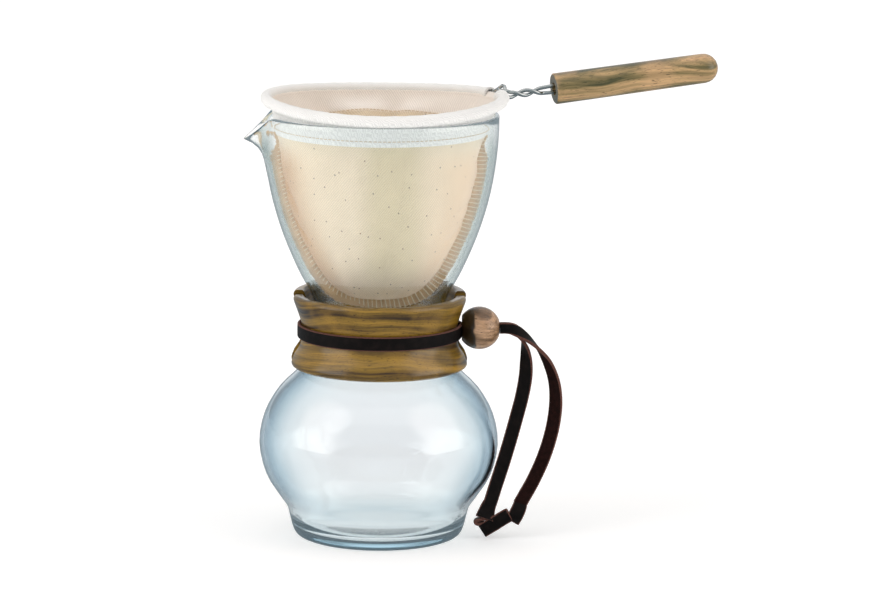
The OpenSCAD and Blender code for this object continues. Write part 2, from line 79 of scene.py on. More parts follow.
class Nodes:
    """Makes the nodes of one node tree. An input is given as a node's output, or as a plain value."""

    def __init__(self, tree):
        self.tree = tree

    def put(self, socket, value):
        if isinstance(value, bpy.types.NodeSocket):
            self.tree.links.new(value, socket)
        else:
            socket.default_value = value

    def node(self, kind, inputs=None, output=0, **settings):
        node = self.tree.nodes.new("ShaderNode" + kind)
        for key, value in settings.items():
            setattr(node, key, value)
        for key, value in (inputs or {}).items():
            self.put(node.inputs[key], value)
        return node.outputs[output]

    def coords(self, kind="Object"):
        return self.node("TexCoord", output=kind)

    def math(self, operation, a, b=0.0):
        return self.node("Math", {0: a, 1: b}, operation=operation)

    def dot(self, a, b):
        return self.node("VectorMath", {0: a, 1: b}, output="Value", operation="DOT_PRODUCT")

    def scaled(self, vector, scale):
        return self.node("VectorMath", {0: vector, 1: scale}, operation="MULTIPLY")

    def noise(self, vector, scale=1.0, detail=4.0, rough=0.55, distortion=0.0):
        return self.node("TexNoise", {"Vector": vector, "Scale": scale, "Detail": detail,
                                      "Roughness": rough, "Distortion": distortion})

    def wander(self, vector, scale, reach):
        """A slow noise round zero, from about -reach / 2 to reach / 2."""
        return self.math("MULTIPLY", self.math("SUBTRACT", self.noise(vector, scale, 2.0), 0.5), reach)

    def ramp(self, value, *stops):
        """A colour from the stops, each a place from 0 to 1 and the colour there."""
        node = self.tree.nodes.new("ShaderNodeValToRGB")
        elements = node.color_ramp.elements
        while len(elements) < len(stops):
            elements.new(0.5)
        for element, (place, colour) in zip(elements, stops):
            element.position = place
            element.color = (*colour, 1.0)
        self.put(node.inputs[0], value)
        return node.outputs[0]

    def step(self, value, low, high, to_low=0.0, to_high=1.0):
        """An eased step: to_low where value is under low, to_high where it is over high."""
        return self.node("MapRange", {0: value, 1: low, 2: high, 3: to_low, 4: to_high},
                         interpolation_type="SMOOTHSTEP")

    def mix(self, share, a, b, blend="MIX"):
        a = (*a, 1.0) if isinstance(a, tuple) else a
        b = (*b, 1.0) if isinstance(b, tuple) else b
        return self.node("Mix", {0: share, 6: a, 7: b}, output=2, data_type="RGBA", blend_type=blend)

    def bump(self, height, distance, strength):
        return self.node("Bump", {"Height": height, "Distance": distance, "Strength": strength})


class Shader(Nodes):
    """One material, with its Principled BSDF."""

    def __init__(self, name):
        self.mat = bpy.data.materials.new(name)
        self.mat.use_nodes = True
        super().__init__(self.mat.node_tree)
        self.bsdf = self.tree.nodes["Principled BSDF"]
        self.out = self.tree.nodes["Material Output"]

    def surface(self, **inputs):
        """Sets inputs of the BSDF, which are named with underscores for spaces."""
        for key, value in inputs.items():
            socket = self.bsdf.inputs[key.replace("_", " ")]
            self.put(socket, (*value, 1.0) if isinstance(value, tuple) else value)


def add_world():
    """Studio light, seen by everything but the camera, for which the world is plain white.

    There is a narrow white back, a bright top, and a dimmer front and sides. In front of the object on each
    side stand a low soft box and a dimmer one above it.
    """
    world = bpy.data.worlds.new("Studio")
    bpy.context.scene.world = world
    world.use_nodes = True
    nodes = Nodes(world.node_tree)
    ray = nodes.coords("Generated")
    ahead, up = (0.0, 1.0, 0.0), (0.0, 0.1, 1.0)
    front, top = (0.41, 0.43, 0.44), (0.88, 0.88, 0.88)
    low_box, high_box = (2.4, 2.33, 2.25), (1.75, 1.58, 1.50)
    lights = [(ahead, 0.90, 0.98, WHITE), (up, 0.40, 0.85, top)]
    for side in (-0.92, 0.92):
        lights.append(((side, -0.36, 0.16), 0.87, 0.98, low_box))
        lights.append(((side, -0.36, 0.75), 0.88, 0.98, high_box))
    light = front
    for direction, outer, inner, colour in lights:
        toward = nodes.dot(ray, Vector(direction).normalized())
        light = nodes.mix(nodes.step(toward, outer, inner), light, colour)
    seen = nodes.node("LightPath", output="Is Camera Ray")
    background = nodes.tree.nodes["Background"]
    nodes.put(background.inputs["Color"], nodes.mix(seen, light, WHITE))
    nodes.put(background.inputs["Strength"], 1.0)


def add_floor():
    """A wide matt floor, lit a little from within. Mirrored rays alone see it darker, like a dark room.

    Light that glass bends counts as glossy too, so transmitted rays are taken out of the glossy ones.
    """
    half = 8.0
    tone, mirrored_tone, glow = (0.97, 0.97, 0.97), (0.26, 0.31, 0.34), 0.20
    mesh = bpy.data.meshes.new("Floor")
    corners = [(-half, -half, 0), (half, -half, 0), (half, half, 0), (-half, half, 0)]
    mesh.from_pydata(corners, [], [(0, 1, 2, 3)])
    floor = bpy.data.objects.new("Floor", mesh)
    bpy.context.scene.collection.objects.link(floor)
    shader = Shader("Floor")
    glossy = shader.node("LightPath", output="Is Glossy Ray")
    mirrored = shader.math("SUBTRACT", glossy, shader.node("LightPath", output="Is Transmission Ray"))
    shader.surface(Base_Color=shader.mix(mirrored, tone, mirrored_tone), Roughness=0.8, Emission_Color=WHITE,
                   Emission_Strength=shader.step(mirrored, 0.0, 1.0, glow, 0.0))
    mesh.materials.append(shader.mat)


def add_key():
    """One wide lamp high on the left, which gives cloth and wood their shape. Gloss doesn't mirror it."""
    place, aim = Vector((-1.3, -0.9, 1.5)), Vector((0.0, 0.0, 0.15))
    data = bpy.data.lights.new("Key", "AREA")
    data.shape = "DISK"
    data.size = 1.1
    data.energy = 4.0
    light = bpy.data.objects.new("Key", data)
    light.location = place
    light.rotation_euler = (aim - place).to_track_quat("-Z", "Y").to_euler()
    light.visible_glossy = False
    bpy.context.scene.collection.objects.link(light)


add_camera()
add_world()
add_floor()
add_key()


# ---------------------------------------------------------------- Curves and grids of points

def smooth(stations, steps):
    """A Catmull-Rom curve through all the stations, with this many steps from one to the next."""
    stations = np.asarray(stations, float)
    last = len(stations) - 1
    rows = []
    for i in range(last):
        a, b, c, d = stations[max(i - 1, 0)], stations[i], stations[i + 1], stations[min(i + 2, last)]
        for t in np.arange(steps) / steps:
            rows.append(0.5 * (2 * b + (c - a) * t + (2 * a - 5 * b + 4 * c - d) * t**2
                               + (3 * b - a - 3 * c + d) * t**3))
    return np.array(rows + [stations[last]])


def along(path):
    """The direction of travel at each point of a path."""
    ends = np.vstack([path[:1], path, path[-1:]])
    travel = ends[2:] - ends[:-2]
    return travel / np.linalg.norm(travel, axis=1)[:, None]


def square_to(travel, sides):
    """Each side vector, made square to the direction of travel and of unit length."""
    sides = sides - (sides * travel).sum(axis=1)[:, None] * travel
    return sides / np.linalg.norm(sides, axis=1)[:, None]


def unit(v):
    return v / np.linalg.norm(v)


def level_sides(path):
    return np.cross(along(path), UP)


def tube(path, sides, radius, count):
    """Rings of a round wire or thread. radius is one number, or one for each point."""
    path = np.asarray(path, float)
    travel = along(path)
    side = square_to(travel, np.broadcast_to(sides, path.shape))
    other = np.cross(side, travel)
    turn = 2 * math.pi * np.arange(count) / count
    reach = np.broadcast_to(radius, len(path))[:, None, None]
    circle = np.cos(turn)[None, :, None] * side[:, None] + np.sin(turn)[None, :, None] * other[:, None]
    return path[:, None] + reach * circle


# Materials round the section of a flat leather strip: its grain side, its flesh side and its cut edges.
GRAIN, FLESH, EDGE = 0, 1, 2
STRIP_MATERIALS = [EDGE, EDGE, GRAIN, GRAIN, GRAIN, EDGE, EDGE, EDGE, FLESH, FLESH, FLESH, EDGE]


def strip(path, faces, widths, thickness):
    """Rings of a flat strip with eased edges. faces says which way its grain side looks at each point."""
    path = np.asarray(path, float)
    travel = along(path)
    face = square_to(travel, np.asarray(faces, float))
    wide = np.cross(travel, face)
    rings = []
    half, lip = thickness / 2, 0.2 * thickness
    crown = 1.08 * half
    for point, w, f, width in zip(path, wide, face, widths):
        side = width / 2
        flat = side - 0.3 * thickness
        third = flat / 3
        section = [(side, -lip), (side, lip), (flat, half), (third, crown), (-third, crown),
                   (-flat, half), (-side, lip), (-side, -lip), (-flat, -half), (-third, -half),
                   (third, -half), (flat, -half)]
        rings.append([point + x * w + y * f for x, y in section])
    return np.array(rings)


def arc_lengths(grid, wrap):
    """How far each point of a grid lies across and down it, measured on the surface.

    Across starts at the first column, or at the middle column where the grid isn't wrapped.
    """
    closed = np.concatenate([grid, grid[:, :1]], axis=1) if wrap else grid
    across = np.cumsum(np.linalg.norm(np.diff(closed, axis=1), axis=2), axis=1)
    across = np.concatenate([np.zeros((len(grid), 1)), across], axis=1)
    if not wrap:
        across -= across[:, across.shape[1] // 2][:, None]
    down = np.cumsum(np.linalg.norm(np.diff(closed, axis=0), axis=2), axis=0)
    down = np.concatenate([np.zeros((1, closed.shape[1])), down], axis=0)
    return across, down


def add_piece(name, grids, body, materials, wrap=True, column_materials=None, cap_material=0):
    """One mesh piece from grids of points in millimetres. Its UV map is in millimetres on the surface.

    With wrap, a grid's columns close round it and both ends are capped.
    """
    points, faces, uvs, picks = [], [], [], []
    for grid in grids:
        rows, columns = grid.shape[:2]
        base = len(points)
        points.extend(grid.reshape(-1, 3))
        across, down = arc_lengths(grid, wrap)
        for i in range(rows - 1):
            for k in range(columns if wrap else columns - 1):
                j = (k + 1) % columns
                low, high = base + i * columns, base + (i + 1) * columns
                faces.append((low + k, low + j, high + j, high + k))
                corners = ((i, k), (i, k + 1), (i + 1, k + 1), (i + 1, k))
                uvs.extend((across[r, c], down[r, c]) for r, c in corners)
                picks.append(column_materials[k] if column_materials else 0)
        if wrap:
            last = base + (rows - 1) * columns
            first_ring, last_ring = range(base + columns - 1, base - 1, -1), range(last, last + columns)
            for ring, row in ((first_ring, 0), (last_ring, rows - 1)):
                faces.append(tuple(ring))
                uvs.extend((across[row, k], down[row, k]) for k in range(columns))
                picks.append(cap_material)
    mesh = bpy.data.meshes.new(name)
    mesh.from_pydata([tuple(p * MM) for p in points], [], faces)
    layer = mesh.uv_layers.new(name="Surface")
    layer.data.foreach_set("uv", np.array(uvs, np.float32).ravel())
    mesh.polygons.foreach_set("material_index", picks)
    mesh.shade_smooth()
    for material in materials:
        mesh.materials.append(material)
    if wrap:
        work = bmesh.new()
        work.from_mesh(mesh)
        bmesh.ops.recalc_face_normals(work, faces=work.faces)
        work.to_mesh(mesh)
        work.free()
    piece = bpy.data.objects.new(name, mesh)
    bpy.context.scene.collection.objects.link(piece)
    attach(piece, body)
    return piece


# Edges that turn by more than these angles, in degrees, stay sharp in the shading.
LEATHER_SHARP, WOOD_SHARP, WIRE_SHARP, HEM_SHARP = 40, 40, 60, 70


def sharpen(piece, degrees):
    piece.data.set_sharp_from_angle(angle=math.radians(degrees))


# ---------------------------------------------------------------- Materials

def leather_materials():
    """Grain side, flesh side and cut edge of the lace, in the order of GRAIN, FLESH and EDGE."""
    grain = Shader("LaceGrain")
    uv = grain.coords("UV")
    pebble = grain.noise(uv, 2.6, 5.0, 0.62)
    worn = grain.noise(uv, 0.22, 3.0)
    colour = grain.mix(grain.step(worn, 0.4, 0.75), (0.0040, 0.0028, 0.0026), (0.010, 0.006, 0.0055))
    rough = grain.step(pebble, 0.3, 0.7, 0.40, 0.60)
    grain.surface(Base_Color=colour, Roughness=rough, Specular_IOR_Level=0.12,
                  Normal=grain.bump(pebble, 0.00012, 0.7))
    flesh = Shader("LaceFlesh")
    uv = flesh.coords("UV")
    nap = flesh.noise(uv, 3.4, 6.0, 0.7)
    patches = flesh.noise(uv, 0.5, 4.0)
    colour = flesh.ramp(nap, (0.34, (0.004, 0.0015, 0.0013)), (0.52, (0.016, 0.0045, 0.0036)),
                        (0.74, (0.075, 0.020, 0.014)))
    colour = flesh.mix(flesh.step(patches, 0.35, 0.7), colour, (0.009, 0.0028, 0.0022))
    flesh.surface(Base_Color=colour, Roughness=0.95, Specular_IOR_Level=0.15,
                  Normal=flesh.bump(nap, 0.0003, 0.9))
    edge = Shader("LaceEdge")
    uv = edge.coords("UV")
    fibre = edge.noise(uv, 2.2, 5.0, 0.65)
    colour = edge.ramp(fibre, (0.35, (0.045, 0.016, 0.012)), (0.55, (0.13, 0.050, 0.036)),
                       (0.75, (0.26, 0.11, 0.075)))
    edge.surface(Base_Color=colour, Roughness=0.9, Normal=edge.bump(fibre, 0.0002, 0.8))
    return [grain.mat, flesh.mat, edge.mat]


def glass_material():
    """Clear glass, darkened and tinted blue-green where its wall is seen edge-on: partly its own tint, and
    partly painted shade for the dark surroundings seen through the edge. The foot and the rim are kept
    lighter, with little painted shade.

    Lamp light passes through it, thinned a little, instead of being stopped. So does a ray that has turned
    more than three times: light led along inside the wall would otherwise end black at the rim.
    """
    foot_tint, rim_tint = (0.95, 0.985, 0.995), (0.93, 0.955, 0.95)
    most_turns = 3.5
    shader = Shader("ClearGlass")
    height = shader.dot(shader.coords(), (0.0, 0.0, 1.0))
    edge_on = shader.node("LayerWeight", {"Blend": 0.5}, output="Facing")
    # Painted shade: the glass is painted darker and bluer towards where its wall is seen edge-on.
    funnel_edge_shade = shader.ramp(edge_on, (0.40, WHITE), (0.50, (0.97, 0.975, 0.97)), (0.57, (0.88, 0.905, 0.89)),
                         (0.63, (0.63, 0.70, 0.685)), (0.72, (0.40, 0.49, 0.475)), (1.0, (0.28, 0.36, 0.35)))
    bulb_edge_shade = shader.ramp(edge_on, (0.10, (0.885, 0.905, 0.92)), (0.27, (0.865, 0.91, 0.925)),
                       (0.38, (0.80, 0.87, 0.90)), (0.48, (0.66, 0.77, 0.825)), (0.60, (0.46, 0.60, 0.69)),
                       (0.70, (0.32, 0.45, 0.55)), (1.0, (0.14, 0.22, 0.30)))
    colour = shader.mix(shader.step(height, 0.090, 0.120), bulb_edge_shade, funnel_edge_shade)
    colour = shader.mix(shader.step(height, 0.010, 0.026, 0.85, 0.0), colour, foot_tint)
    colour = shader.mix(shader.step(height, 0.184, 0.197, 0.0, 0.82), colour, rim_tint)
    shader.surface(Base_Color=colour, Roughness=0.0, IOR=1.5, Transmission_Weight=1.0)
    shadow = shader.node("LightPath", output="Is Shadow Ray")
    deep = shader.math("GREATER_THAN", shader.node("LightPath", output="Ray Depth"), most_turns)
    clear = shader.math("MAXIMUM", shadow, deep)
    through = shader.node("BsdfTransparent", {"Color": (0.95, 0.96, 0.96, 1.0)})
    shown = shader.node("MixShader", {0: clear, 1: shader.bsdf.outputs[0], 2: through})
    shader.put(shader.out.inputs["Surface"], shown)
    tint = shader.node("VolumeAbsorption", {"Color": (0.40, 0.72, 0.86, 1.0), "Density": 14.0})
    shader.put(shader.out.inputs["Volume"], tint)
    return shader.mat


def wood_material(name, grain, across, scales, tones, dark_before=None, end_tone=None):
    """Turned wood. grain and across are the directions of its fibres and of its layers, in the row frame.

    scales are how often the figure changes per metre: along the grain, sideways and through the layers.
    tones run from the dark streaks to the pale wood. dark_before is where a zone of painted shadow ends, in
    metres along the grain, and end_tone is the colour of the end grain that faces back along it.
    """
    shader = Shader(name)
    place = shader.coords()
    grain, across = Vector(grain).normalized(), Vector(across).normalized()
    sideways = grain.cross(across)
    lengthwise, aside, layers = [shader.dot(place, axis) for axis in (grain, sideways, across)]
    layers = shader.math("ADD", layers, shader.wander(place, 13.0, 0.016))
    own = shader.node("CombineXYZ", {0: lengthwise, 1: aside, 2: layers})
    streaks = shader.noise(shader.scaled(own, scales), 1.0, 6.0, 0.62, 0.35)
    fine = shader.noise(shader.scaled(own, tuple(4.5 * s for s in scales)), 1.0, 4.0, 0.7)
    cloudy = shader.noise(own, 45.0, 3.0)
    pores = shader.noise(shader.scaled(own, (300.0, 2400.0, 2400.0)), 1.0, 2.0, 0.6)
    dark, mid, pale, gold = tones
    colour = shader.ramp(streaks, (0.36, dark), (0.45, mid), (0.55, pale), (0.68, gold))
    colour = shader.mix(shader.step(fine, 0.35, 0.65, 0.42, 0.0), colour, dark)
    colour = shader.mix(shader.step(cloudy, 0.45, 0.7, 0.0, 0.35), colour, gold)
    colour = shader.mix(shader.step(pores, 0.30, 0.42, 0.75, 0.0), colour, tuple(0.4 * c for c in dark))
    # Painted shadow: the wood before dark_before is painted dark, for the shadow that the collar casts on the
    # bead.
    if dark_before is not None:
        wavering = shader.math("ADD", lengthwise, shader.wander(place, 85.0, 0.007))
        collar_shadow = shader.step(wavering, dark_before - 0.0004, dark_before + 0.0008, 1.0, 0.0)
        colour = shader.mix(collar_shadow, colour, shader.mix(fine, (0.003, 0.0014, 0.0004), (0.040, 0.020, 0.004)))
    if end_tone is not None:
        facing = shader.dot(shader.node("NewGeometry", output="Normal"), -grain)
        colour = shader.mix(shader.step(facing, 0.80, 0.95, 0.0, 0.85), colour, end_tone)
    rough = shader.step(fine, 0.3, 0.7, 0.34, 0.50)
    height = shader.mix(0.5, fine, pores)
    shader.surface(Base_Color=colour, Roughness=rough, Specular_IOR_Level=0.35, Coat_Weight=0.7,
                   Coat_Roughness=0.14, Normal=shader.bump(height, 0.00008, 0.6))
    return shader.mat


def wire_material():
    """Bright plated steel with a faint haze."""
    shader = Shader("PlatedWire")
    haze = shader.noise(shader.coords(), 900.0, 4.0, 0.6)
    shader.surface(Base_Color=shader.mix(haze, (0.40, 0.44, 0.45), (0.54, 0.58, 0.58)), Metallic=1.0,
                   Roughness=shader.step(haze, 0.3, 0.7, 0.07, 0.17), Normal=shader.bump(haze, 0.00002, 0.4))
    return shader.mat


def cloth_material(name, tone, flecks=True, tinted=False, relief=0.75):
    """Cotton flannel: a fine diagonal twill under a soft nap. UVs are in millimetres.

    flecks adds specks of seed husk. tinted multiplies in the mesh's colours, named tone, which hold painted
    shade; its white hem has a blue above 1 and no flecks. relief is the strength of the weave's bump.
    """
    twill_pitch, pick_pitch = 0.95, 0.55
    shader = Shader(name)
    uv = shader.coords("UV")
    wobble = shader.math("MULTIPLY", shader.noise(uv, 0.5, 2.0), 5.0)
    diagonal = shader.math("MULTIPLY", shader.dot(uv, (0.80, 0.60, 0.0)), 2 * math.pi / twill_pitch)
    crossing = shader.math("MULTIPLY", shader.dot(uv, (-0.45, 0.89, 0.0)), 2 * math.pi / pick_pitch)
    twill = shader.math("SINE", shader.math("ADD", diagonal, wobble))
    picks = shader.math("SINE", crossing)
    weave = shader.math("ADD", shader.math("MULTIPLY", twill, 0.35), shader.math("MULTIPLY", picks, 0.15))
    nap = shader.noise(uv, 5.0, 5.0, 0.7)
    clouds = shader.noise(uv, 0.07, 4.0)
    height = shader.math("ADD", weave, nap)
    # Painted shade: the weave's hollows are painted darker and its crowns a little lighter.
    painted_weave_shade = shader.step(height, -0.2, 1.2, 0.80, 1.06)
    colour = shader.mix(shader.step(clouds, 0.3, 0.7), tuple(0.955 * c for c in tone), tone)
    colour = shader.mix(1.0, colour, shader.node("CombineColor", {0: painted_weave_shade, 1: painted_weave_shade, 2: painted_weave_shade}), "MULTIPLY")
    if tinted:
        # The tone colours carry painted shade.
        tint = shader.node("Attribute", output="Color", attribute_name="tone")
        colour = shader.mix(1.0, colour, tint, "MULTIPLY")
    if flecks:
        cells = shader.tree.nodes.new("ShaderNodeTexVoronoi")
        cells.voronoi_dimensions = "2D"
        shader.put(cells.inputs["Vector"], shader.scaled(uv, (1.0, 0.8, 1.0)))
        shader.put(cells.inputs["Scale"], 0.105)
        speck = shader.step(cells.outputs["Distance"], 0.026, 0.040, 0.80, 0.0)
        if tinted:
            blue = shader.node("SeparateColor", {0: tint}, output=2)
            speck = shader.math("MULTIPLY", speck, shader.step(blue, 1.02, 1.15, 1.0, 0.0))
        kind = shader.node("SeparateColor", {0: cells.outputs["Color"]})
        colour = shader.mix(speck, colour, shader.mix(kind, (0.20, 0.07, 0.03), (0.10, 0.08, 0.05)))
    shader.surface(Base_Color=colour, Roughness=0.92, Sheen_Weight=0.35, Sheen_Roughness=0.45,
                   Normal=shader.bump(height, 0.00016, relief))
    return shader.mat


def thread_material(name, tone):
    """Twisted cotton thread."""
    shader = Shader(name)
    twist = shader.noise(shader.coords("UV"), 6.0, 3.0, 0.6)
    shader.surface(Base_Color=shader.mix(twist, tuple(0.78 * c for c in tone), tone), Roughness=0.85,
                   Sheen_Weight=0.3, Normal=shader.bump(twist, 0.0001, 0.8))
    return shader.mat


leather = leather_materials()
flannel = cloth_material("Flannel", (0.94, 0.81, 0.615), tinted=True)
flannel_hem = cloth_material("FlannelHem", (0.95, 0.95, 0.93), flecks=False, relief=0.25)
flannel_edge = cloth_material("FlannelEdge", (0.80, 0.59, 0.37), flecks=False)
overlock_thread = thread_material("Thread", (0.97, 0.87, 0.68))
hem_thread = thread_material("HemThread", (0.80, 0.65, 0.47))


# ---------------------------------------------------------------- Leather lace

# Widths, heights and routes are those of the CAD model. The lace is rolled narrower inside the bead.
LACE_W, LACE_T, LACE_ROLLED_W = 6.6, 1.6, 5.2
LACE_Z, WRAP_R = 98.4, 38.0
BEAD_X, BEAD_Z, BEAD_R, BEAD_BORE_R = 47.1, 99.6, 10.1, 3.4
LACE_EXIT_X = BEAD_X + math.sqrt(BEAD_R**2 - BEAD_BORE_R**2) + 0.2
PAIR_Y = LACE_T / 2 + 0.05

# Each stop of a route is a point of the strip's middle and the way its grain side faces there.
INNER_ROUTE = [
    [(LACE_EXIT_X + 0.1, 0.9, BEAD_Z), (0, 1, 0)], [(60.4, 0.9, BEAD_Z), (0, 1, 0)],
    [(63, 0.9, BEAD_Z - 0.6), (-0.3, 1, -0.2)], [(65.8, 0.8, 97.2), (-0.8, 0.7, -0.6)],
    [(67.8, 0.5, 93.6), (-1, 0, -0.5)], [(69, 0, 89), (-1, -0.6, 0)], [(69.5, -0.8, 83), (-0.6, -1, 0)],
    [(69.2, -1.8, 76), (-0.3, -1, 0)], [(67.6, -2.9, 67), (-0.1, -1, 0)], [(64.9, -4.2, 56.5), (0, -1, 0)],
    [(61.9, -5.5, 45.5), (0, -1, 0)], [(58.8, -6.7, 35), (0, -1, 0)], [(55.6, -7.9, 25), (0.1, -1, 0)],
    [(53.7, -8.7, 18.8), (0.1, -1, 0)], [(52.5, -9.2, 15.2), (0.1, -1, 0)]]
OUTER_ROUTE = [
    [(LACE_EXIT_X + 0.1, -0.9, BEAD_Z), (0, -1, 0)], [(60.4, -0.9, BEAD_Z), (0, -1, 0)],
    [(63.4, -1, BEAD_Z - 0.6), (0.1, -1, 0.3)], [(67.4, -1.5, 96.8), (0.5, -0.8, 0.8)],
    [(71.8, -2.1, 93.4), (0.9, -0.2, 0.9)], [(76.2, -2.7, 88.8), (1, 0.3, 0.7)],
    [(80, -3, 82.6), (1, 0.8, 0.3)], [(82.8, -3.2, 74.5), (0.8, 1, 0)],
    [(83.7, -3.6, 65.5), (0.5, 1, 0)], [(82.9, -4.3, 56), (0.3, 1, 0)],
    [(80.8, -5.2, 46.5), (0.2, 1, 0)], [(77.6, -6.3, 37), (0.2, 1, 0)], [(73.3, -7.4, 27.5), (0.1, 1, 0)],
    [(69.4, -8.3, 20.4), (0.1, 1, 0)], [(67, -9.1, 16.2), (0.1, 1, 0)]]
STRAND_WIDTHS = [LACE_ROLLED_W, LACE_ROLLED_W, 5.4, 5.8, 6] + [LACE_W] * 10


def strip_grid(route, widths, steps):
    """Rings of a lace strip through a listed route, and the line it follows."""
    path = smooth([point for point, face in route], steps)
    faces = smooth([face for point, face in route], steps)
    return strip(path, faces, smooth(np.array(widths)[:, None], steps)[:, 0], LACE_T), path


def add_leather(name, grids):
    """One leather piece from grids of strip rings."""
    piece = add_piece(name, grids, "pot", leather, column_materials=STRIP_MATERIALS,
                      cap_material=EDGE)
    sharpen(piece, LEATHER_SHARP)
    return piece


def add_knot():
    """The flat knot: both strands end in a fold, a loop shows its edge, and a cut end crosses in front."""
    front, up, down = (0, -1, 0), (0, 0, 1), (0, 0, -1)
    tail = [
        [(49.3, -11.4, 3.8), front], [(52.4, -11.75, 5.8), front], [(55.6, -11.8, 7.8), front],
        [(58.9, -11.4, 9.9), front], [(61.2, -11.5, 11.3), front], [(62.3, -12.0, 11.9), (0.5, -1, 0.2)]]
    left_fold = [
        [(53.0, -9.0, 17.0), front], [(51.9, -9.6, 14.4), front], [(51.2, -10.4, 12.2), front],
        [(50.6, -11.3, 10.6), (0, -1, 0.4)], [(50.3, -11.7, 9.9), (0, -1, 0.8)]]
    right_fold = [
        [(67.4, -9.4, 16.6), front], [(66.7, -10.3, 14.6), front], [(65.5, -10.9, 12.0), front],
        [(64.4, -11.1, 9.8), front], [(63.6, -11.6, 8.5), (0, -1, 0.5)]]
    loop = [
        [(55.0, -9.8, 10.6), up], [(51.5, -9.8, 9.8), up], [(48.2, -9.8, 9.2), (-0.2, 0, 1)],
        [(46.4, -9.8, 8.5), (-1, 0, 0.8)], [(46.2, -9.8, 7.6), (-1, 0, -0.6)],
        [(47.4, -9.8, 7.0), down], [(50.5, -9.8, 7.3), down]]
    grids = [strip_grid(tail, [6.9] * 6, 4)[0], strip_grid(left_fold, [6.6, 7.4, 8.2, 8.6, 8.8], 4)[0],
             strip_grid(right_fold, [6.6, 7.0, 7.2, 7.0, 6.8], 4)[0], strip_grid(loop, [4.2] * 7, 5)[0]]
    knot = add_leather("lace_knot_folds", grids)
    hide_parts("lace_knot")
    return knot


def add_strand(name, node, route):
    """One free strand of the lace, from the bead's bore to the knot."""
    grid, path = strip_grid(route, STRAND_WIDTHS, 6)
    strand = add_leather(name, [grid])
    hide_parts(node)


def add_wrap():
    """The lace's turn round the collar's waist, from one side of the bead's bore back to the other."""
    def end(side):
        return [(LACE_EXIT_X, side * PAIR_Y, BEAD_Z), (BEAD_X, side * PAIR_Y, BEAD_Z),
                (WRAP_R + 2.6, side * (PAIR_Y + 0.05), BEAD_Z),
                (WRAP_R + 1.4, side * (PAIR_Y + 0.3), BEAD_Z - 0.1),
                (WRAP_R + 0.6, side * (PAIR_Y + 0.9), BEAD_Z - 0.3),
                (WRAP_R + 0.1, side * 3.1, BEAD_Z - 0.6),
                (WRAP_R - 0.1, side * 5, BEAD_Z - 0.9)]

    end_widths = [LACE_ROLLED_W] * 4 + [5.6, 6, 6.4]
    turns = np.radians(np.arange(12, 349, 6))
    round_waist = [(WRAP_R * math.cos(a), WRAP_R * math.sin(a), LACE_Z) for a in turns]
    stations = end(1) + round_waist + end(-1)[::-1]
    widths = end_widths + [LACE_W] * len(round_waist) + end_widths[::-1]
    path = smooth(stations, 3)
    grid = strip(path, level_sides(path), smooth(np.array(widths)[:, None], 3)[:, 0], LACE_T)
    wrap = add_leather("lace_waist_turn", [grid])
    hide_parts("lace_wrap")


knot = add_knot()
add_strand("lace_strand_inner", "lace_inner_strand", INNER_ROUTE)
add_strand("lace_strand_outer", "lace_outer_strand", OUTER_ROUTE)
add_wrap()


# ---------------------------------------------------------------- Glass, wood and wire, on the CAD meshes

HANDLE_TURN, HANDLE_RISE = math.radians(13), math.radians(6.5)
HANDLE_OUT = (math.cos(HANDLE_RISE) * math.cos(HANDLE_TURN), math.cos(HANDLE_RISE) * math.sin(HANDLE_TURN),
              math.sin(HANDLE_RISE))
# The painted shadow that the collar casts on the bead ends here.
COLLAR_SHADOW_X = BEAD_X - 2.4


def finish_cad(name, mat, sharp_angle=None):
    """Shades a CAD node smoothly. Its points are welded for show, and edges past sharp_angle stay sharp."""
    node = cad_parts[name]
    for extra in ("custom_normal", "sharp_edge", "sharp_face"):
        if extra in node.data.attributes:
            node.data.attributes.remove(node.data.attributes[extra])
    weld = node.modifiers.new("Weld", "WELD")
    weld.merge_threshold = 0.002 * MM
    if sharp_angle:
        split = node.modifiers.new("Split", "EDGE_SPLIT")
        split.split_angle = math.radians(sharp_angle)
    for slot in node.material_slots:
        slot.material = mat


collar_wood = wood_material(
    "CollarWood", grain=(1, 0, 0), across=(0, 0.05, 1), scales=(9.0, 9.0, 300.0),
    tones=((0.030, 0.013, 0.001), (0.130, 0.070, 0.004), (0.29, 0.168, 0.012), (0.44, 0.240, 0.026)))
bead_wood = wood_material(
    "BeadWood", grain=(1, 0, 0), across=(0.1, -0.4, 1), scales=(30.0, 110.0, 260.0),
    tones=((0.075, 0.036, 0.013), (0.24, 0.13, 0.058), (0.54, 0.325, 0.178), (0.74, 0.46, 0.28)),
    dark_before=COLLAR_SHADOW_X * MM)
handle_wood = wood_material(
    "HandleWood", grain=HANDLE_OUT, across=(0.1, -0.55, 1), scales=(8.0, 120.0, 260.0),
    tones=((0.060, 0.060, 0.018), (0.26, 0.19, 0.072), (0.59, 0.38, 0.172), (0.74, 0.44, 0.23)),
    end_tone=(0.055, 0.060, 0.035))
finish_cad("glass_pot", glass_material())
for part in ("collar_front", "collar_back"):
    finish_cad(part, collar_wood, WOOD_SHARP)
finish_cad("toggle_bead", bead_wood, WOOD_SHARP)
finish_cad("handle_grip", handle_wood, WOOD_SHARP)
wire = wire_material()
for part in ("hoop_wire", "latch_wire"):
    finish_cad(part, wire, WIRE_SHARP)


# ---------------------------------------------------------------- Cloth filter

# The hoop's middle, radius and height. It sags at the front and the back, and stands higher at the back.
HOOP_X, HOOP_R, HOOP_Z, HOOP_SAG, HOOP_TILT = 1.4, 55.3, 208.3, 2.8, 0.8
